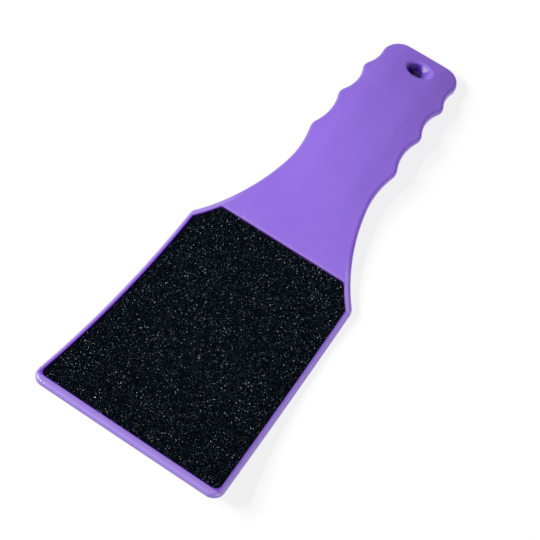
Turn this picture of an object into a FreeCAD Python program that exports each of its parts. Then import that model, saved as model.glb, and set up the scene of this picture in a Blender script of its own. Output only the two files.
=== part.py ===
import FreeCAD
import Part
import math
import os
from FreeCAD import Vector

# A paddle-shaped foot file. One moulded plastic body carries a sunk, rimmed seat on each
# face of its blade, and an abrasive sheet is stuck into each seat: coarse grit on the upper
# face and fine grit on the underside. Each sheet is a laminate of three pieces.
#
# Millimetres, +Z up, +Y from the blade towards the hanging end, X across. A reach is a
# distance from the front edge of the blade, and a half width is measured from the centre
# line. The file lies as it would on a table, on the blade's lowest line and the handle's end.

# Outline of the blade, seen from above
blade_length = 106.5
front_half_width = 48.5
shoulder_half_width = 42.55
side_sweep_radius = 1800.0
front_corner_radius = 5.5
shoulder_radius = 4.2

# Outline of the neck, from the shoulders to its narrowest place: it flares out in two arcs
neck_length = 50.2
neck_half_width = 20.5
neck_radius = 37.6
flare_radius = 93.2
flare_angle = 11.6

# Outline of the grip: a valley for each finger, with a rounded knuckle before each valley
valley_pitches = (24.0, 19.5, 17.8)
valley_half_widths = (19.6, 18.7, 18.45)
valley_radii = (19.2, 14.2, 13.4)
knuckle_radii = (6.2, 4.9, 4.3)
end_length = 12.0
end_corner_radius = 7.8

# Side view: the blade bows down like a shallow dish, the neck rises and the grip arches up
blade_thickness = 3.8
blade_bow_radius = 291.5
blade_low_reach = 82.2
neck_rise_length = 39.0
handle_thickness = 7.0
handle_arch_radius = 193.7
handle_crest_distance = 49.7

# The grip's faces are crowned: flat in the middle, and steeper and steeper towards the sides,
# where a little of the wall is left between the rolled edges
edge_radius = 1.5
least_wall = 0.2
crown_half_width = 15.6
crown_power = 6

# Hanging hole: a round bore square to the grip, under an oval funnel whose mouth lies a little
# to one side of it
hole_diameter = 4.8
hole_end_distance = 10.6
hole_chamfer = 0.8
mouth_half_width = 7.0
mouth_half_length = 4.8
mouth_shift_across = 1.3
mouth_shift_along = 0.6
funnel_depth = 4.4
funnel_edge_radius = 0.7
funnel_start_angle = 52.0

# Seat for a sheet, the rim that is left around it, and the land between it and the neck's rise
seat_front_reach = 3.9
side_rim_width = 2.2
shoulder_rim_width = 2.85
seat_back_run = 8.6
back_land_length = 5.9
rim_lip_height = 0.5
seat_corner_radius = 3.0
seat_shoulder_corner_radius = 1.6
seat_back_corner_radius = 2.4

# The sheets and their layers
sheet_clearance = 0.3
adhesive_thickness = 0.15
coarse_backing_thickness = 0.3
coarse_grit_thickness = 0.4
fine_backing_thickness = 0.2
fine_grit_thickness = 0.25

# How far a tool or a trial solid runs past what it cuts, and the stations of smooth faces
overrun = 12.0
stations_along = 31
stations_across = 19
funnel_stations = 8

# Reaches that follow from the lengths above
seat_back_reach = blade_length + seat_back_run
neck_start_reach = seat_back_reach + back_land_length
neck_end_reach = neck_start_reach + neck_rise_length
neck_reach = blade_length + neck_length
valley_reaches = [neck_reach + sum(valley_pitches[:i + 1]) for i in range(len(valley_pitches))]
overall_length = valley_reaches[-1] + end_length
handle_crest_reach = overall_length - handle_crest_distance

UP = Vector(0, 0, 1)
ALONG = Vector(0, 1, 0)
ACROSS = Vector(1, 0, 0)


class Circle:
    """A circle of the plan, which carries one arc of the outline."""

    def __init__(self, centre, radius):
        self.centre = centre
        self.radius = radius

    def mirrored(self):
        return Circle(mirror_point(self.centre), self.radius)


def mirror_point(point):
    return Vector(-point.x, point.y, point.z)


def circle_through(start, end, radius):
    """Circle through two points, with its centre on the outer side of the file."""
    chord = end - start
    outward = Vector(chord.y, -chord.x, 0).normalize()
    return Circle((start + end) / 2 + outward * math.sqrt(radius ** 2 - (chord.Length / 2) ** 2), radius)


def circle_touching(first, second, radius, near):
    """Circle that touches two others from outside, on the side where the point near lies."""
    to_first = first.radius + radius
    to_second = second.radius + radius
    line = second.centre - first.centre
    along = (to_first ** 2 - to_second ** 2 + line.Length ** 2) / (2 * line.Length)
    foot = first.centre + line * (along / line.Length)
    aside = Vector(-line.y, line.x, 0).normalize() * math.sqrt(to_first ** 2 - along ** 2)
    centre = min((foot + aside, foot - aside), key=lambda point: (point - near).Length)
    return Circle(centre, radius)


def circle_in_end(side):
    """Circle in the corner between a side's arc and the straight end of the grip."""
    reach = overall_length - end_corner_radius
    rise = side.centre.y - reach
    half_width = side.centre.x - math.sqrt((side.radius + end_corner_radius) ** 2 - rise ** 2)
    return Circle(Vector(half_width, reach, 0), end_corner_radius)


def touch_point(first, second):
    line = second.centre - first.centre
    return first.centre + line * (first.radius / line.Length)


def arc_edge(circle, start, end):
    middle = ((start + end) / 2 - circle.centre).normalize()
    return Part.Arc(start, circle.centre + middle * circle.radius, end).toShape()


def straight_edge(start, end):
    return Part.LineSegment(start, end).toShape()


def closed_outline(circles, points):
    """Wire of one side's arcs, the same arcs mirrored, and straight front and back edges."""
    right = []
    left = []
    for circle, start, end in zip(circles, points, points[1:]):
        right.append(arc_edge(circle, start, end))
        left.insert(0, arc_edge(circle.mirrored(), mirror_point(end), mirror_point(start)))
    front = straight_edge(mirror_point(points[0]), points[0])
    back = straight_edge(points[-1], mirror_point(points[-1]))
    return Part.Wire([front] + right + [back] + left)


def blade_side():
    front = Vector(front_half_width, 0, 0)
    shoulder = Vector(shoulder_half_width, blade_length, 0)
    return circle_through(front, shoulder, side_sweep_radius)


def point_of_side(side, reach):
    rise = side.centre.y - reach
    return Vector(side.centre.x - math.sqrt(side.radius ** 2 - rise ** 2), reach, 0)


def neck_and_flare():
    """The two circles of the neck, and the point where their arcs meet."""
    neck = Circle(Vector(neck_half_width + neck_radius, neck_reach, 0), neck_radius)
    turn = math.radians(flare_angle)
    lean = Vector(math.cos(turn), math.sin(turn), 0)
    meeting = neck.centre - lean * neck_radius
    return neck, Circle(meeting + lean * flare_radius, flare_radius), meeting


def body_outline():
    """Outline that runs on past the front wall, which is cut afterwards."""
    side = blade_side()
    neck, flare, flare_start = neck_and_flare()
    valleys = [neck]
    for half_width, reach, radius in zip(valley_half_widths, valley_reaches, valley_radii):
        valleys.append(Circle(Vector(half_width + radius, reach, 0), radius))
    shoulder_point = Vector(shoulder_half_width, blade_length, 0)
    shoulder = circle_touching(side, flare, shoulder_radius, shoulder_point)
    end = circle_in_end(valleys[-1])
    circles = [side, shoulder, flare, neck]
    for before, after, radius in zip(valleys, valleys[1:], knuckle_radii):
        near = Vector(neck_half_width, (before.centre.y + after.centre.y) / 2, 0)
        circles.append(circle_touching(before, after, radius, near))
        circles.append(after)
    circles.append(end)
    points = [point_of_side(side, -overrun)]
    for before, after in zip(circles, circles[1:]):
        points.append(flare_start if before is flare else touch_point(before, after))
    points.append(Vector(end.centre.x, overall_length, 0))
    return closed_outline(circles, points)


def seat_corners(inset):
    """Circles of a seat's side and shoulder, and its right-hand corners from front to back."""
    side = blade_side()
    side.radius += side_rim_width + inset
    shoulder = neck_and_flare()[1]
    shoulder.radius += shoulder_rim_width + inset
    front_corner = point_of_side(side, seat_front_reach + inset)
    line = shoulder.centre - side.centre
    along = (side.radius ** 2 - shoulder.radius ** 2 + line.Length ** 2) / (2 * line.Length)
    aside = Vector(-line.y, line.x, 0).normalize() * math.sqrt(side.radius ** 2 - along ** 2)
    foot = side.centre + line * (along / line.Length)
    near = Vector(shoulder_half_width, blade_length, 0)
    shoulder_corner = min((foot + aside, foot - aside), key=lambda point: (point - near).Length)
    back_corner = point_of_side(shoulder, seat_back_reach - inset)
    return side, shoulder, [front_corner, shoulder_corner, back_corner]


def seat_outline(inset):
    """Outline of a seat, or of a sheet that is smaller than the seat by the inset."""
    side, shoulder, corners = seat_corners(inset)
    front, middle, back = corners
    edges = [
        straight_edge(mirror_point(front), front),
        arc_edge(side, front, middle),
        arc_edge(shoulder, middle, back),
        straight_edge(back, mirror_point(back)),
        arc_edge(shoulder.mirrored(), mirror_point(back), mirror_point(middle)),
        arc_edge(side.mirrored(), mirror_point(middle), mirror_point(front)),
    ]
    return Part.Wire(edges)


def blade_axis_height():
    return blade_thickness / 2 + blade_bow_radius


def handle_axis_height():
    """Height that brings the rounded edge of the handle's end down to the table."""
    lower = handle_arch_radius - handle_thickness / 2 + edge_radius
    run = overall_length - edge_radius - handle_crest_reach
    return edge_radius - math.sqrt(lower ** 2 - run ** 2)


def smooth_step(value, start, end):
    share = min(max((value - start) / (end - start), 0), 1)
    return share * share * (3 - 2 * share)


def blade_line(reach):
    """Height and slope of the blade's middle surface."""
    run = reach - blade_low_reach
    rise = math.sqrt(blade_bow_radius ** 2 - run ** 2)
    return blade_axis_height() - rise, run / rise


def handle_line(reach):
    """Height and slope of the grip's middle surface."""
    run = reach - handle_crest_reach
    rise = math.sqrt(handle_arch_radius ** 2 - run ** 2)
    return handle_axis_height() + rise, -run / rise


def middle_height(reach):
    """Height of the middle surface: two arcs, joined by a cubic that keeps their slopes."""
    if reach <= neck_start_reach:
        return blade_line(reach)[0]
    if reach >= neck_end_reach:
        return handle_line(reach)[0]
    span = neck_end_reach - neck_start_reach
    share = (reach - neck_start_reach) / span
    low, low_slope = blade_line(neck_start_reach)
    high, high_slope = handle_line(neck_end_reach)
    rest = 1 - share
    height = low * rest * rest * (1 + 2 * share) + high * share * share * (3 - 2 * share)
    return height + span * share * rest * (low_slope * rest - high_slope * share)


def face_height(half_width, reach, side):
    """Height of the upper face, where side is 1, or of the underside, where it is -1."""
    grip_share = smooth_step(reach, neck_start_reach, neck_end_reach)
    thickness = blade_thickness + (handle_thickness - blade_thickness) * grip_share
    steepness = (half_width / crown_half_width) ** crown_power
    greatest_drop = (handle_thickness - least_wall) / 2 - edge_radius
    crown = greatest_drop * grip_share * steepness / (1 + steepness)
    slope = (middle_height(reach + edge_radius) - middle_height(reach - edge_radius)) / (2 * edge_radius)
    upright = thickness / 2 * math.sqrt(1 + slope ** 2)
    return middle_height(reach) + side * (upright - crown)


def crowned_face(side):
    """Smooth face through the stations of the upper face or of the underside."""
    half_span = front_half_width + overrun
    length = overall_length + 2 * overrun
    rows = []
    for i in range(stations_along):
        reach = length * i / (stations_along - 1) - overrun
        row = []
        for j in range(stations_across):
            share = 2 * j / (stations_across - 1) - 1
            half_width = half_span * share * (1 + share * share) / 2
            row.append(Vector(half_width, reach, face_height(half_width, reach, side)))
        rows.append(row)
    surface = Part.BSplineSurface()
    surface.interpolate(rows)
    return surface.toShape()


def upright_prism(wire):
    """Prism of an outline, from below the table to above the file."""
    prism = Part.Face(wire).extrude(UP * 4 * overrun)
    prism.translate(UP * -overrun)
    return prism


def outline_edges(solid):
    """Edges where the upper face and the underside meet the walls."""
    uses = {}
    for face in solid.Faces:
        first, last, low, high = face.ParameterRange
        normal = face.normalAt((first + last) / 2, (low + high) / 2)
        if abs(normal.z) > abs(normal.x) + abs(normal.y):
            for edge in face.Edges:
                uses.setdefault(edge.hashCode(), []).append(edge)
    return [edges[0] for edges in uses.values() if len(edges) == 1]


def front_waste():
    """Block before the front wall, which is square to the bow with its rolled foot at reach 0."""
    lean = math.asin(blade_low_reach / blade_bow_radius)
    wall_reach = edge_radius * (1 - math.cos(lean)) + (blade_thickness / 2 - edge_radius) * math.sin(lean)
    foot = Vector(0, wall_reach, middle_height(wall_reach))
    width = front_half_width + overrun
    corner = foot - Vector(width, 2 * overrun, 2 * overrun)
    block = Part.makeBox(2 * width, 2 * overrun, 4 * overrun, corner)
    block.rotate(foot, ACROSS, -math.degrees(lean))
    return block


def front_corners(solid):
    """The short edges between the front wall and the blade's sides."""
    edges = []
    for edge in solid.Edges:
        first, last = edge.Vertexes[0].Point, edge.Vertexes[-1].Point
        if max(first.y, last.y) < front_corner_radius and abs(first.x - last.x) < blade_thickness:
            edges.append(edge)
    return edges


def plain_body():
    """The moulding before its hole and its seats: the outline between the two faces."""
    below_top = crowned_face(1).extrude(UP * -4 * overrun)
    above_underside = crowned_face(-1).extrude(UP * 4 * overrun)
    body = upright_prism(body_outline()).common(below_top).common(above_underside)
    solid = body.cut(front_waste()).Solids[0]
    solid = solid.makeFillet(front_corner_radius, front_corners(solid))
    return solid.makeFillet(edge_radius, outline_edges(solid))


def hole_mouth():
    """Point of the upper face over the hanging hole, and the angle that the grip leans by there."""
    reach = overall_length - hole_end_distance
    height, slope = handle_line(reach)
    lean = math.atan(slope)
    normal = Vector(0, -math.sin(lean), math.cos(lean))
    return Vector(0, reach, height) + normal * handle_thickness / 2, lean


def oval(middle, half_width, half_length):
    ellipse = Part.Ellipse(middle + ACROSS * half_width, middle + ALONG * half_length, middle)
    return Part.Wire(ellipse.toShape())


def hole_tool():
    """What the hanging hole takes away, with the bore's axis upright through the origin."""
    radius = hole_diameter / 2
    start = math.radians(funnel_start_angle)
    sections = []
    for i in range(-1, funnel_stations):
        turn = start + (math.pi / 2 - start) * i / (funnel_stations - 1)
        spread = (1 - math.sin(turn)) / (1 - math.sin(start))
        depth = funnel_depth * (1 - math.cos(turn) / math.cos(start))
        middle = Vector(mouth_shift_across * spread, mouth_shift_along * spread, -depth)
        half_width = radius + (mouth_half_width - radius) * spread
        half_length = radius + (mouth_half_length - radius) * spread
        sections.append(oval(middle, half_width, half_length))
    bore = Part.makeCylinder(radius, handle_thickness, UP * -funnel_depth, UP * -1)
    chamfer_top = UP * (hole_chamfer - handle_thickness)
    chamfer = Part.makeCone(radius, radius + overrun, overrun, chamfer_top, UP * -1)
    return Part.makeLoft(sections, True).fuse(bore).fuse(chamfer)


def with_hanging_hole(body):
    """Sinks the funnel, the bore and its chamfer, and rounds the funnel's mouth."""
    mouth, lean = hole_mouth()
    tool = hole_tool()
    tool.rotate(Vector(), ACROSS, math.degrees(lean))
    tool.translate(mouth)
    holed = body.cut(tool).Solids[0]
    mouth_edges = []
    for edge in holed.Edges:
        depths = []
        distances = []
        for point in edge.discretize(5):
            offset = point - mouth
            depths.append(offset.y * math.sin(lean) - offset.z * math.cos(lean))
            distances.append(math.sqrt(max(offset.Length ** 2 - depths[-1] ** 2, 0)))
        near = max(distances) < mouth_half_width + mouth_shift_across + edge_radius
        if near and max(depths) < funnel_depth / 4:
            mouth_edges.append(edge)
    return holed.makeFillet(funnel_edge_radius, mouth_edges)


def bow_cylinder(height):
    """Cylinder of the blade's bow, at a height over the blade's middle surface."""
    width = 2 * (front_half_width + overrun)
    base = Vector(-width / 2, blade_low_reach, blade_axis_height())
    return Part.makeCylinder(blade_bow_radius - height, width, base, ACROSS)


def seat_prism(inset):
    """Upright prism of a seat's outline with its corners rounded."""
    prism = upright_prism(seat_outline(inset))
    radii = (seat_corner_radius - inset, seat_shoulder_corner_radius, seat_back_corner_radius - inset)
    for corner, radius in zip(seat_corners(inset)[2], radii):
        edges = []
        for edge in prism.Edges:
            ends = (edge.Vertexes[0].Point, edge.Vertexes[-1].Point)
            misses = [abs(abs(end.x) - corner.x) + abs(end.y - corner.y) for end in ends]
            if max(misses) < inset + radius / 4:
                edges.append(edge)
        prism = prism.makeFillet(radius, edges)
    return prism


def layer(prism, low, high):
    """The part of a prism between two heights over the blade's middle surface."""
    return prism.common(bow_cylinder(low)).cut(bow_cylinder(high)).Solids[0]


def seat_floor(backing_thickness, grit_thickness):
    """Distance of a seat's floor from the blade's middle surface."""
    sheet_thickness = adhesive_thickness + backing_thickness + grit_thickness
    return blade_thickness / 2 - rim_lip_height - sheet_thickness


def make_handle_body():
    body = with_hanging_hole(plain_body())
    prism = seat_prism(0)
    coarse_floor = seat_floor(coarse_backing_thickness, coarse_grit_thickness)
    fine_floor = seat_floor(fine_backing_thickness, fine_grit_thickness)
    body = body.cut(prism.common(bow_cylinder(coarse_floor)))
    body = body.cut(prism.cut(bow_cylinder(-fine_floor)))
    return body.Solids[0]


def make_sheet(grade, side, backing_thickness, grit_thickness):
    """The three layers of a sheet, from the seat's floor outwards."""
    prism = seat_prism(sheet_clearance)
    layers = [
        ("adhesive_film", adhesive_thickness),
        ("backing_sheet", backing_thickness),
        ("grit_layer", grit_thickness),
    ]
    height = seat_floor(backing_thickness, grit_thickness)
    pieces = {}
    for name, thickness in layers:
        low, high = sorted((side * height, side * (height + thickness)))
        pieces[grade + "_" + name] = layer(prism, low, high)
        height += thickness
    return pieces


def main():
    pieces = {"handle_body": make_handle_body()}
    pieces.update(make_sheet("coarse", 1, coarse_backing_thickness, coarse_grit_thickness))
    pieces.update(make_sheet("fine", -1, fine_backing_thickness, fine_grit_thickness))
    os.makedirs("parts", exist_ok=True)
    for name, shape in pieces.items():
        shape.translate(Vector(0, -overall_length / 2, 0))
        shape.exportStep("parts/" + name + ".step")
        print(name, "valid" if shape.isValid() else "NOT VALID", round(shape.Volume), "mm3")


main()
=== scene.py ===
import math

import bpy
import numpy as np
from mathutils import Matrix, Vector


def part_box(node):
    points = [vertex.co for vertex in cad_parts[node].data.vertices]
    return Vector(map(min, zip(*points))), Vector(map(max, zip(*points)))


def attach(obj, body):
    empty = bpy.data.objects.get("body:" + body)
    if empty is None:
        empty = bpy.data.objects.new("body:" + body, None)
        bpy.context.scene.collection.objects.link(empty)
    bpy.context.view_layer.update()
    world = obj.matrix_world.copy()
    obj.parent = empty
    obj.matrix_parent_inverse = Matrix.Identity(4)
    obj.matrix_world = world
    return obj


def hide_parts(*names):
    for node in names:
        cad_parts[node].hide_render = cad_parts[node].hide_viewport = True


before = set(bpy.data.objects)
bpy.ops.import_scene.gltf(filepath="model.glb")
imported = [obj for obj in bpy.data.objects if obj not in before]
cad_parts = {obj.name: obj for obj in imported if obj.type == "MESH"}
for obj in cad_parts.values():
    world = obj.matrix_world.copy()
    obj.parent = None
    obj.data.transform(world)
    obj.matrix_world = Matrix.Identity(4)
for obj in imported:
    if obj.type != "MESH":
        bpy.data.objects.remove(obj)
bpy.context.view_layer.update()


# Camera: a long lens that looks down at the file from beyond its blade, a little to the right.
# Its place was found by fitting the file's outline to the photograph.
camera_turn = math.radians(35.9755)
camera_height = math.radians(63.7078)
camera_roll = math.radians(-0.8817)
camera_distance = 0.9581911
camera_aside = -0.0053568
camera_above = -0.0088833
focal_pixels = 2200.0
frame_pixels = 540.0
sensor_width = 36.0
nearest_seen = 0.01

forward = Vector((
    -math.sin(camera_turn) * math.cos(camera_height),
    math.cos(camera_turn) * math.cos(camera_height),
    -math.sin(camera_height),
))
level = Vector((math.cos(camera_turn), math.sin(camera_turn), 0))
upward = level.cross(forward)
right = level * math.cos(camera_roll) + upward * math.sin(camera_roll)
top = upward * math.cos(camera_roll) - level * math.sin(camera_roll)
place = right * camera_aside + top * camera_above - forward * camera_distance

bpy.ops.object.camera_add()
camera = bpy.context.object
camera.name = "photo_camera"
camera.data.sensor_width = sensor_width
camera.data.lens = focal_pixels / frame_pixels * sensor_width
camera.data.clip_start = nearest_seen
camera.matrix_world = Matrix((
    (right.x, top.x, -forward.x, place.x),
    (right.y, top.y, -forward.y, place.y),
    (right.z, top.z, -forward.z, place.z),
    (0, 0, 0, 1),
))
bpy.context.scene.camera = camera
bpy.context.scene.view_settings.view_transform = "Standard"


# Table: a plain white sheet of card that the file lies on. Seen directly or in a reflection it
# is part light of its own, so that it looks white and the file's shadow stays faint. It doesn't
# glow in the shade under the hanging hole.
table_size = 6.0
table_glow = 0.82
glow_white = (1.0, 1.0, 1.0, 1)
glowing_card = (0.22, 0.22, 0.22, 1)
card_dark = (0.70, 0.70, 0.70, 1)
card_light = (0.74, 0.74, 0.74, 1)
card_roughness = 0.9
fibres_per_metre = 900.0
hole_shade_place = (0.0, 0.108, 0.0)
hole_shade_radius = 0.010


def new_material(name):
    """New material, given with its node tree and its shader."""
    material = bpy.data.materials.new(name)
    material.use_nodes = True
    return material, material.node_tree, material.node_tree.nodes["Principled BSDF"]


def feed(tree, socket, given):
    """Link another node's output to a socket, or set the socket to a plain value."""
    if isinstance(given, bpy.types.NodeSocket):
        tree.links.new(given, socket)
    else:
        socket.default_value = given


def reckon(tree, operation, *terms):
    """Output of a Math node."""
    node = tree.nodes.new("ShaderNodeMath")
    node.operation = operation
    for socket, term in zip(node.inputs, terms):
        feed(tree, socket, term)
    return node.outputs["Value"]


def distance(tree, point, centre):
    """Output of a Vector Math node that gives how far a point of the surface is from a centre."""
    node = tree.nodes.new("ShaderNodeVectorMath")
    node.operation = "DISTANCE"
    feed(tree, node.inputs[0], point)
    feed(tree, node.inputs[1], centre)
    return node.outputs["Value"]


def fade(tree, value, start, end, low=0.0, high=1.0, smooth=True):
    """Output of a Map Range node that goes from low to high as a value goes from start to end."""
    node = tree.nodes.new("ShaderNodeMapRange")
    node.interpolation_type = "SMOOTHSTEP" if smooth else "LINEAR"
    feed(tree, node.inputs["Value"], value)
    feed(tree, node.inputs["From Min"], start)
    feed(tree, node.inputs["From Max"], end)
    feed(tree, node.inputs["To Min"], low)
    feed(tree, node.inputs["To Max"], high)
    return node.outputs["Result"]


def blend(tree, factor, first, second, kind="RGBA"):
    """Output of a Mix node for two colours, or for two numbers where the kind is FLOAT."""
    node = tree.nodes.new("ShaderNodeMix")
    node.data_type = kind
    feed(tree, node.inputs["Factor"], factor)
    feed(tree, node.inputs["A"], first)
    feed(tree, node.inputs["B"], second)
    return node.outputs["Result"]


def noise(tree, where, scale, detail=2.0, distortion=0.0):
    """Output of a Noise Texture node."""
    node = tree.nodes.new("ShaderNodeTexNoise")
    feed(tree, node.inputs["Vector"], where)
    feed(tree, node.inputs["Scale"], scale)
    feed(tree, node.inputs["Detail"], detail)
    feed(tree, node.inputs["Distortion"], distortion)
    return node.outputs["Fac"]


bpy.ops.object.select_all(action="DESELECT")
bpy.ops.mesh.primitive_plane_add(size=table_size)
table = bpy.context.object
table.name = "table_card"

card, tree, surface = new_material("white_card")
surface.inputs["Roughness"].default_value = card_roughness
surface.inputs["Specular IOR Level"].default_value = 0.0
surface.inputs["Emission Color"].default_value = glow_white
where = tree.nodes.new("ShaderNodeTexCoord").outputs["Object"]
rays = tree.nodes.new("ShaderNodeLightPath").outputs
seen = reckon(tree, "MAXIMUM", rays["Is Camera Ray"], rays["Is Glossy Ray"])
shown = reckon(tree, "MAXIMUM", seen, rays["Is Transmission Ray"])
hole_reach = distance(tree, where, hole_shade_place)
clear = fade(tree, hole_reach, hole_shade_radius / 2, hole_shade_radius)
glowing = reckon(tree, "MULTIPLY", shown, clear)
feed(tree, surface.inputs["Emission Strength"], reckon(tree, "MULTIPLY", glowing, table_glow))
paper = blend(tree, noise(tree, where, fibres_per_metre), card_dark, card_light)
feed(tree, surface.inputs["Base Color"], blend(tree, glowing, paper, glowing_card))
table.data.materials.append(card)


# Studio light: a small strong lamp on the left that gives the sharp highlights, a soft box round
# it, a weaker soft box low on the right, and a room that is dim and darker towards its ceiling.
lamp_places_sizes_watts = {
    "key_lamp": ((-0.64, -0.62, 1.08), 0.05, 6.5),
    "key_soft_box": ((-1.05, -0.28, 0.76), 0.7, 21.0),
    "fill_soft_box": ((1.0, -0.40, 0.22), 0.5, 6.0),
}
wall_light = 0.35
ceiling_light = 0.07
ceiling_start = 0.6
room_white = (1.0, 1.0, 1.0, 1)

for name, (place, size, watts) in lamp_places_sizes_watts.items():
    bpy.ops.object.select_all(action="DESELECT")
    bpy.ops.object.light_add(type="AREA", location=place)
    lamp = bpy.context.object
    lamp.name = name
    lamp.data.shape = "SQUARE"
    lamp.data.size = size
    lamp.data.energy = watts
    lamp.rotation_euler = (-Vector(place)).to_track_quat("-Z", "Y").to_euler()

room = bpy.data.worlds.new("studio")
room.use_nodes = True
bpy.context.scene.world = room
tree = room.node_tree
background = tree.nodes["Background"]
axes = tree.nodes.new("ShaderNodeSeparateXYZ")
feed(tree, axes.inputs["Vector"], tree.nodes.new("ShaderNodeTexCoord").outputs["Generated"])
dimness = fade(tree, axes.outputs["Z"], 0.0, ceiling_start, wall_light, ceiling_light, smooth=False)
feed(tree, background.inputs["Strength"], dimness)
background.inputs["Color"].default_value = room_white


# Moulded body: one glossy purple injection moulding of blade, rims, neck and grip. The colour is
# in the plastic, which shows faint flow marks, a slight ripple, a parting line half-way up its
# walls, and a few scuffs on the land behind the coarse sheet. Painted over it are a pale sheen
# on the rims, and painted shade on the walls, round the seat's edges and in the hanging hole.
plastic_ior = 1.49
plastic_glossiest = 0.12
plastic_dullest = 0.26
hole_roughness = 0.35
flow_dark = (0.245, 0.130, 0.640, 1)
flow_light = (0.285, 0.160, 0.690, 1)
# Pale purple: painted sheen on the rims and wear of the land. Wall, seat and hole purples: painted
# shade.
wear_and_sheen_purple = (0.50, 0.41, 0.68, 1)
wall_shade_purple = (0.25, 0.165, 0.55, 1)
seam_purple = (0.14, 0.09, 0.34, 1)
seat_shade_purple = (0.19, 0.065, 0.53, 1)
hole_shade_purple = (0.045, 0.006, 0.26, 1)
flow_marks_per_metre = 30.0
scratches_per_metre = 1300.0
haze_spots_per_metre = 120.0
ripples_per_metre = 70.0
ripple_strength = 0.25
ripple_depth = 0.0003

# The seat's outline on one half of the blade: the arc of its side, that of its shoulder, and how
# far it goes to the front and the back. The rims lie outside it, and the land behind it.
sweep_centre = (1.841933, 0.038613, 0.0)
sweep_reach = 1.8021
flare_centre = (0.112564, 0.052880, 0.0)
flare_reach = 0.0960
seat_front = -0.1112
seat_back = 0.0002
land_end = 0.012

# The middle surface, which all heights are taken from: one arc along the blade, a slope in the
# neck and another arc along the grip.
blade_centre = (0.0, -0.0328, 0.2934)
blade_radius = 0.2915
grip_centre = (0.0, 0.0653, -0.1840)
grip_radius = 0.1937
neck_slope = math.radians(6.19)
neck_start = -0.00137
neck_end = 0.04441
neck_upright = (0.0, -math.sin(neck_slope), math.cos(neck_slope))
neck_level = Vector(blade_centre).dot(neck_upright) - blade_radius
wall_top = 0.0005
rim_height = 0.0017
seam_half_width = 0.00018

# Painted sheen on the rims, which grow paler towards their outer edges, and wear of the land
# behind the seat, whose scuffs show the same pale purple. The walls get a greyer purple of painted
# shade, and the deep purple of painted shade on the seat's own walls goes a little over their edge.
rim_fade = 0.0008
rim_sheen = 0.40
side_sheen_start = 0.0006
side_sheen = 1.6
front_sheen = 0.85
land_wear_and_sheen = 0.8
back_edge_sheen = 0.5
scuff_start = 0.56
scuff_end = 0.70
scuff_wear = 0.35
wall_shade_strength = 0.5
seat_shade_width = 0.0002

# The hanging hole, painted dark with shade but for the gentle slope on the right side of its mouth.
hole_centre = (0.0, 0.1040, 0.0055)
hole_zone = 0.0085
hole_foot = -0.0028
mouth_level = 0.0033
mouth_fade = 0.0014
steep_side_start = 0.0015
steep_side_end = 0.0070


def combine(tree, operation, *terms):
    """Output of a row of Math nodes that joins any number of terms by the same operation."""
    joined = terms[0]
    for term in terms[1:]:
        joined = reckon(tree, operation, joined, term)
    return joined


def bump(tree, height, strength, depth):
    """Output of a Bump node."""
    node = tree.nodes.new("ShaderNodeBump")
    feed(tree, node.inputs["Height"], height)
    feed(tree, node.inputs["Strength"], strength)
    feed(tree, node.inputs["Distance"], depth)
    return node.outputs["Normal"]


plastic, tree, surface = new_material("purple_moulding")
surface.inputs["IOR"].default_value = plastic_ior
where = tree.nodes.new("ShaderNodeTexCoord").outputs["Object"]
axes = tree.nodes.new("ShaderNodeSeparateXYZ")
feed(tree, axes.inputs["Vector"], where)
across, along = axes.outputs["X"], axes.outputs["Y"]
half = tree.nodes.new("ShaderNodeCombineXYZ")
feed(tree, half.inputs["X"], reckon(tree, "ABSOLUTE", across))
feed(tree, half.inputs["Y"], along)
side_view = tree.nodes.new("ShaderNodeCombineXYZ")
feed(tree, side_view.inputs["Y"], along)
feed(tree, side_view.inputs["Z"], axes.outputs["Z"])

neck_rise = tree.nodes.new("ShaderNodeVectorMath")
neck_rise.operation = "DOT_PRODUCT"
feed(tree, neck_rise.inputs[0], side_view.outputs["Vector"])
feed(tree, neck_rise.inputs[1], neck_upright)
neck_lift = reckon(tree, "SUBTRACT", neck_rise.outputs["Value"], neck_level)
blade_reach = distance(tree, side_view.outputs["Vector"], blade_centre)
blade_lift = reckon(tree, "SUBTRACT", blade_reach, blade_radius)
grip_reach = distance(tree, side_view.outputs["Vector"], grip_centre)
grip_lift = reckon(tree, "SUBTRACT", grip_reach, grip_radius)
past_blade = reckon(tree, "GREATER_THAN", along, neck_start)
past_neck = reckon(tree, "GREATER_THAN", along, neck_end)
front_lift = blend(tree, past_blade, blade_lift, neck_lift, "FLOAT")
off_middle = reckon(tree, "ABSOLUTE", blend(tree, past_neck, front_lift, grip_lift, "FLOAT"))

sweep = distance(tree, half.outputs["Vector"], sweep_centre)
flare = distance(tree, half.outputs["Vector"], flare_centre)
side_start = sweep_reach - side_sheen_start
side_rim = fade(tree, sweep, side_start, side_start - rim_fade, high=side_sheen)
front_rim = fade(tree, along, seat_front, seat_front - rim_fade, high=front_sheen)
land = fade(tree, along, 2 * seat_back, land_end, low=land_wear_and_sheen, high=0.0)
shoulder_edge = fade(tree, flare, flare_reach, flare_reach - rim_fade)
shoulder_rim = reckon(tree, "MULTIPLY", shoulder_edge, land)
behind = reckon(tree, "GREATER_THAN", along, seat_back)
back_edge = fade(tree, along, seat_back + 2 * rim_fade, seat_back, high=back_edge_sheen)
back_rim = reckon(tree, "MULTIPLY", back_edge, behind)
rim = combine(tree, "MAXIMUM", side_rim, front_rim, back_rim, shoulder_rim)
# Painted sheen: the rim tops grow paler towards their outer edges.
sheen_on_rims = reckon(tree, "MULTIPLY", rim, fade(tree, off_middle, wall_top, rim_height))
scratches = noise(tree, where, scratches_per_metre, detail=4.0)
scuffs = fade(tree, scratches, scuff_start, scuff_end, high=scuff_wear, smooth=False)
scuffed = combine(tree, "MULTIPLY", land, behind, scuffs)
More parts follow.
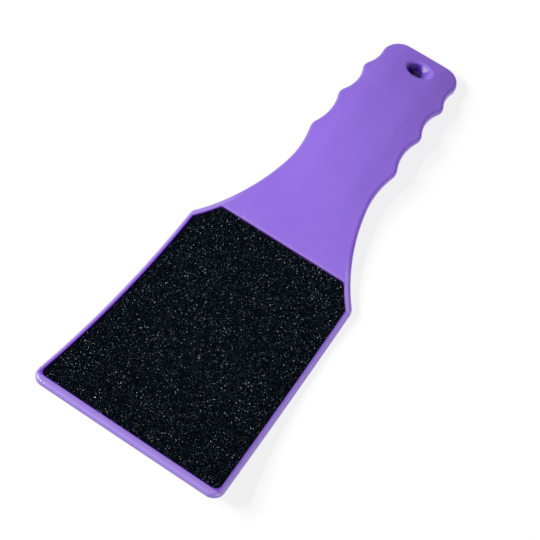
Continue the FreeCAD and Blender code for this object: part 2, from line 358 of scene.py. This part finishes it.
# Pale purple of painted sheen on the rims, and of wear where the land is scuffed.
wear_and_sheen = reckon(tree, "MULTIPLY_ADD", sheen_on_rims, rim_sheen, scuffed)
wear_and_sheen.node.use_clamp = True

# Painted shade: a greyer purple on the walls below the rim tops.
wall_shade = fade(tree, off_middle, rim_height, wall_top, high=wall_shade_strength)
seam = reckon(tree, "LESS_THAN", off_middle, seam_half_width)
# Painted shade: deep purple on the seat's walls and just over the rims' inner edges.
in_seat_shade = combine(
    tree, "MULTIPLY",
    reckon(tree, "GREATER_THAN", sweep, sweep_reach - seat_shade_width),
    reckon(tree, "GREATER_THAN", flare, flare_reach - seat_shade_width),
    reckon(tree, "GREATER_THAN", along, seat_front),
    reckon(tree, "LESS_THAN", along, seat_back),
)
# Painted shade: dark purple in the hanging hole, but for the slope on its right side.
in_hole_shade = combine(
    tree, "MULTIPLY",
    fade(tree, grip_lift, mouth_level, mouth_level - mouth_fade),
    reckon(tree, "GREATER_THAN", grip_lift, hole_foot),
    fade(tree, across, steep_side_end, steep_side_start),
    reckon(tree, "LESS_THAN", distance(tree, where, hole_centre), hole_zone),
)

flow = noise(tree, where, flow_marks_per_metre, detail=3.0, distortion=1.2)
colour = blend(tree, flow, flow_dark, flow_light)
for mask, purple in (
    (wear_and_sheen, wear_and_sheen_purple),
    (wall_shade, wall_shade_purple),
    (seam, seam_purple),
    (in_seat_shade, seat_shade_purple),
    (in_hole_shade, hole_shade_purple),
):
    colour = blend(tree, mask, colour, purple)
feed(tree, surface.inputs["Base Color"], colour)

haze = noise(tree, where, haze_spots_per_metre, detail=5.0)
gloss = fade(tree, haze, 0.0, 1.0, plastic_glossiest, plastic_dullest, smooth=False)
feed(tree, surface.inputs["Roughness"], blend(tree, in_hole_shade, gloss, hole_roughness, "FLOAT"))
ripple = noise(tree, where, ripples_per_metre)
feed(tree, surface.inputs["Normal"], bump(tree, ripple, ripple_strength, ripple_depth))
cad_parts["handle_body"].material_slots[0].material = plastic


# Coarse sheet: black mineral grit, bonded in dark resin on cloth and stuck into the seat of the
# blade's upper face. The grains stand as a faceted relief, and the largest crystals get painted
# glints.
sheet_columns = 276
sheet_rows = 334
sheet_border = 0.001
grain_shift = 0.4
grain_heights = (2.0, 2.6)
back_flatness = math.radians(0.45)
coarse_low = 0.00112
coarse_high = 0.0014
coarse_base = 0.001
coarse_seed = 11
coarse_look = {
    "Grains per metre": 4400.0,
    "Contrast": 0.90,
    "Glitter share": 0.003,
    "Crystals per metre": 2100.0,
    "Resin": (0.0001, 0.0006, 0.0014, 1),
    "Mineral": (0.00108, 0.0016, 0.0021, 1),
}


def half_width_of(node, reach):
    """Half width of a CAD sheet at each reach, from the outermost points of its mesh."""
    mesh = node.data
    points = np.empty(len(mesh.vertices) * 3)
    mesh.vertices.foreach_get("co", points)
    points = points.reshape(-1, 3)
    points = points[points[:, 0] > 0]
    rim = {}
    for x, y, _ in points:
        rim[round(y, 6)] = max(x, rim.get(round(y, 6), 0))
    places = sorted(rim)
    return np.interp(reach, places, [rim[y] for y in places])


def over_blade(reach, height):
    """Height above the table of what lies at a height over the blade's middle surface."""
    _, centre_reach, centre_height = blade_centre
    return centre_height - np.sqrt((blade_radius - height) ** 2 - (reach - centre_reach) ** 2)


def grit_bed(name, node, low, high, seed):
    """Sheet of grains between two heights over the middle surface, in the outline of a CAD node."""
    bpy.ops.object.select_all(action="DESELECT")
    bpy.ops.mesh.primitive_grid_add(x_subdivisions=sheet_columns, y_subdivisions=sheet_rows, size=1)
    bed = bpy.context.object
    bed.name = name
    points = np.empty(len(bed.data.vertices) * 3)
    bed.data.vertices.foreach_get("co", points)
    points = points.reshape(-1, 3)
    random = np.random.default_rng(seed)
    first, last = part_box(node.name)
    across, along = points[:, 0] * 2, points[:, 1] + 0.5
    cell = (last[1] - first[1]) / sheet_rows
    inner = (np.abs(across) < 1 - sheet_border) & (np.abs(along - 0.5) < 0.5 - sheet_border)
    reach = first[1] + (last[1] - first[1]) * along
    reach += inner * random.uniform(-grain_shift, grain_shift, len(reach)) * cell
    side = across * half_width_of(node, reach)
    side += inner * random.uniform(-grain_shift, grain_shift, len(reach)) * cell
    height = low + (high - low) * random.beta(*grain_heights, len(reach))
    height = np.where(inner, height, (low + high) / 2)
    points = np.stack((side, reach, over_blade(reach, height)), axis=1)
    bed.data.vertices.foreach_set("co", points.ravel())
    bed.data.update()
    return bed


def close_sheet(bed, base):
    """Wall round a sheet's edge, and a smooth back that follows the bow at its base."""
    bpy.ops.object.mode_set(mode="EDIT")
    bpy.ops.mesh.select_all(action="SELECT")
    bpy.ops.mesh.extrude_region_move()
    bpy.ops.object.mode_set(mode="OBJECT")
    mesh = bed.data
    count = len(mesh.vertices)
    picked = np.empty(count, dtype=bool)
    mesh.vertices.foreach_get("select", picked)
    points = np.empty(count * 3)
    mesh.vertices.foreach_get("co", points)
    points = points.reshape(-1, 3)
    points[picked, 2] = over_blade(points[picked, 1], base)
    mesh.vertices.foreach_set("co", points.ravel())
    mesh.update()
    bpy.ops.object.mode_set(mode="EDIT")
    bpy.ops.mesh.dissolve_limited(angle_limit=back_flatness, use_dissolve_boundaries=False)
    bpy.ops.mesh.select_all(action="SELECT")
    bpy.ops.mesh.normals_make_consistent(inside=False)
    bpy.ops.object.mode_set(mode="OBJECT")


def vector_sum(tree, operation, first, second):
    """Output of a Vector Math node whose result is a vector or a colour."""
    node = tree.nodes.new("ShaderNodeVectorMath")
    node.operation = operation
    feed(tree, node.inputs[0], first)
    feed(tree, node.inputs["Scale" if operation == "SCALE" else 1], second)
    return node.outputs["Vector"]


def chips(tree, where, per_metre):
    """Outputs of a pattern of chips: two random numbers for each, and how far its middle is."""
    cells = tree.nodes.new("ShaderNodeTexVoronoi")
    feed(tree, cells.inputs["Vector"], where)
    feed(tree, cells.inputs["Scale"], per_metre)
    chance = tree.nodes.new("ShaderNodeSeparateColor")
    feed(tree, chance.inputs["Color"], cells.outputs["Color"])
    return chance.outputs["Red"], chance.outputs["Green"], cells.outputs["Distance"]


# The grains as a group: most are dark and a few bright, a few glitter like metal, and a coarser
# pattern of crystals lies over them, with rare painted glints. The odds of a random number give
# the long range of greys.
odds_limit = 1.003
brightest_grain = (0.38, 0.39, 0.41)
crystal_edge = 0.34
crystal_core = 0.28
crystal_rarity = 32.0
crystal_glint_grey = (0.86, 0.88, 0.92)
glitter_grey = (0.24, 0.25, 0.27, 1)
grit_roughness = 0.3

mineral_grains = bpy.data.node_groups.new("mineral_grains", "ShaderNodeTree")
for name, direction, kind in (
    ("Vector", "INPUT", "NodeSocketVector"),
    ("Grains per metre", "INPUT", "NodeSocketFloat"),
    ("Contrast", "INPUT", "NodeSocketFloat"),
    ("Glitter share", "INPUT", "NodeSocketFloat"),
    ("Crystals per metre", "INPUT", "NodeSocketFloat"),
    ("Resin", "INPUT", "NodeSocketColor"),
    ("Mineral", "INPUT", "NodeSocketColor"),
    ("Color", "OUTPUT", "NodeSocketColor"),
    ("Metallic", "OUTPUT", "NodeSocketFloat"),
):
    mineral_grains.interface.new_socket(name, in_out=direction, socket_type=kind)
tree = mineral_grains
given = tree.nodes.new("NodeGroupInput").outputs
result = tree.nodes.new("NodeGroupOutput").inputs
pick, number, _ = chips(tree, given["Vector"], given["Grains per metre"])
glitter = reckon(tree, "LESS_THAN", pick, given["Glitter share"])
odds = reckon(tree, "DIVIDE", number, reckon(tree, "SUBTRACT", odds_limit, number))
greyness = reckon(tree, "POWER", odds, given["Contrast"])
mineral = vector_sum(tree, "SCALE", given["Mineral"], greyness)
bonded = vector_sum(tree, "ADD", given["Resin"], mineral)
grains = vector_sum(tree, "MINIMUM", bonded, brightest_grain)
# Painted glints: rare crystals get a near-white colour whatever the light.
luck, _, middle = chips(tree, given["Vector"], given["Crystals per metre"])
spot = fade(tree, middle, crystal_edge, crystal_core, smooth=False)
sparkle = reckon(tree, "MULTIPLY", reckon(tree, "POWER", luck, crystal_rarity), spot)
crystal_glints = vector_sum(tree, "SCALE", crystal_glint_grey, sparkle)
strewn = vector_sum(tree, "ADD", grains, crystal_glints)
feed(tree, result["Color"], blend(tree, glitter, strewn, glitter_grey))
feed(tree, result["Metallic"], glitter)


def grit_material(name, look):
    """Material of a layer of bonded grains, from the inputs of the group of grains."""
    material, tree, surface = new_material(name)
    surface.inputs["Specular IOR Level"].default_value = 0.0
    surface.inputs["Roughness"].default_value = grit_roughness
    pattern = tree.nodes.new("ShaderNodeGroup")
    pattern.node_tree = mineral_grains
    where = tree.nodes.new("ShaderNodeTexCoord").outputs["Object"]
    feed(tree, pattern.inputs["Vector"], where)
    for socket, value in look.items():
        pattern.inputs[socket].default_value = value
    feed(tree, surface.inputs["Base Color"], pattern.outputs["Color"])
    feed(tree, surface.inputs["Metallic"], pattern.outputs["Metallic"])
    return material


coarse_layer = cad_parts["coarse_grit_layer"]
coarse_bed = grit_bed("coarse_grit", coarse_layer, coarse_low, coarse_high, coarse_seed)
close_sheet(coarse_bed, coarse_base)
coarse_bed.data.materials.append(grit_material("coarse_black_grit", coarse_look))
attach(coarse_bed, "root")
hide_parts("coarse_grit_layer")


# Fine sheet: the same kind of laminate in the seat of the underside, with smaller grains that
# make a smoother, duller sheet.
fine_low = -0.0014
fine_high = -0.00128
fine_base = -0.00115
fine_seed = 12
fine_look = {
    "Grains per metre": 4500.0,
    "Contrast": 0.6,
    "Glitter share": 0.004,
    "Crystals per metre": 2600.0,
    "Resin": (0.002, 0.003, 0.004, 1),
    "Mineral": (0.005, 0.005, 0.005, 1),
}

fine_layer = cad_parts["fine_grit_layer"]
fine_bed = grit_bed("fine_grit", fine_layer, fine_low, fine_high, fine_seed)
close_sheet(fine_bed, fine_base)
fine_bed.data.materials.append(grit_material("fine_black_grit", fine_look))
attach(fine_bed, "root")
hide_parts("fine_grit_layer")


# Backings: the dark twill cloth that carries each coat of grit. Only its cut edges show, in the
# narrow gap round a sheet.
twill_slant = math.radians(45)
twill_lines_per_metre = 700.0
twill_unevenness = 0.6
twill_dark = (0.012, 0.011, 0.012, 1)
twill_light = (0.035, 0.032, 0.036, 1)
twill_strength = 0.5
twill_depth = 0.0001
cloth_roughness = 0.85
cloth_specular = 0.2

cloth, tree, surface = new_material("dark_backing_cloth")
surface.inputs["Roughness"].default_value = cloth_roughness
surface.inputs["Specular IOR Level"].default_value = cloth_specular
turn = tree.nodes.new("ShaderNodeMapping")
feed(tree, turn.inputs["Vector"], tree.nodes.new("ShaderNodeTexCoord").outputs["Object"])
feed(tree, turn.inputs["Rotation"], (0, 0, twill_slant))
threads = tree.nodes.new("ShaderNodeTexWave")
feed(tree, threads.inputs["Vector"], turn.outputs["Vector"])
feed(tree, threads.inputs["Scale"], twill_lines_per_metre)
feed(tree, threads.inputs["Distortion"], twill_unevenness)
twill = threads.outputs["Fac"]
feed(tree, surface.inputs["Base Color"], blend(tree, twill, twill_dark, twill_light))
feed(tree, surface.inputs["Normal"], bump(tree, twill, twill_strength, twill_depth))
for name in ("coarse_backing_sheet", "fine_backing_sheet"):
    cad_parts[name].material_slots[0].material = cloth


# Adhesive films: the pale coat under each backing that holds the sheet in its seat. It was
# rolled on, which leaves faint streaks.
adhesive_roughness = 0.35
streaks_per_metre = 400.0
adhesive_dark = (0.45, 0.40, 0.30, 1)
adhesive_light = (0.60, 0.55, 0.42, 1)

adhesive, tree, surface = new_material("pale_adhesive")
surface.inputs["Roughness"].default_value = adhesive_roughness
where = tree.nodes.new("ShaderNodeTexCoord").outputs["Object"]
streaks = noise(tree, where, streaks_per_metre)
feed(tree, surface.inputs["Base Color"], blend(tree, streaks, adhesive_dark, adhesive_light))
for name in ("coarse_adhesive_film", "fine_adhesive_film"):
    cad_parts[name].material_slots[0].material = adhesive
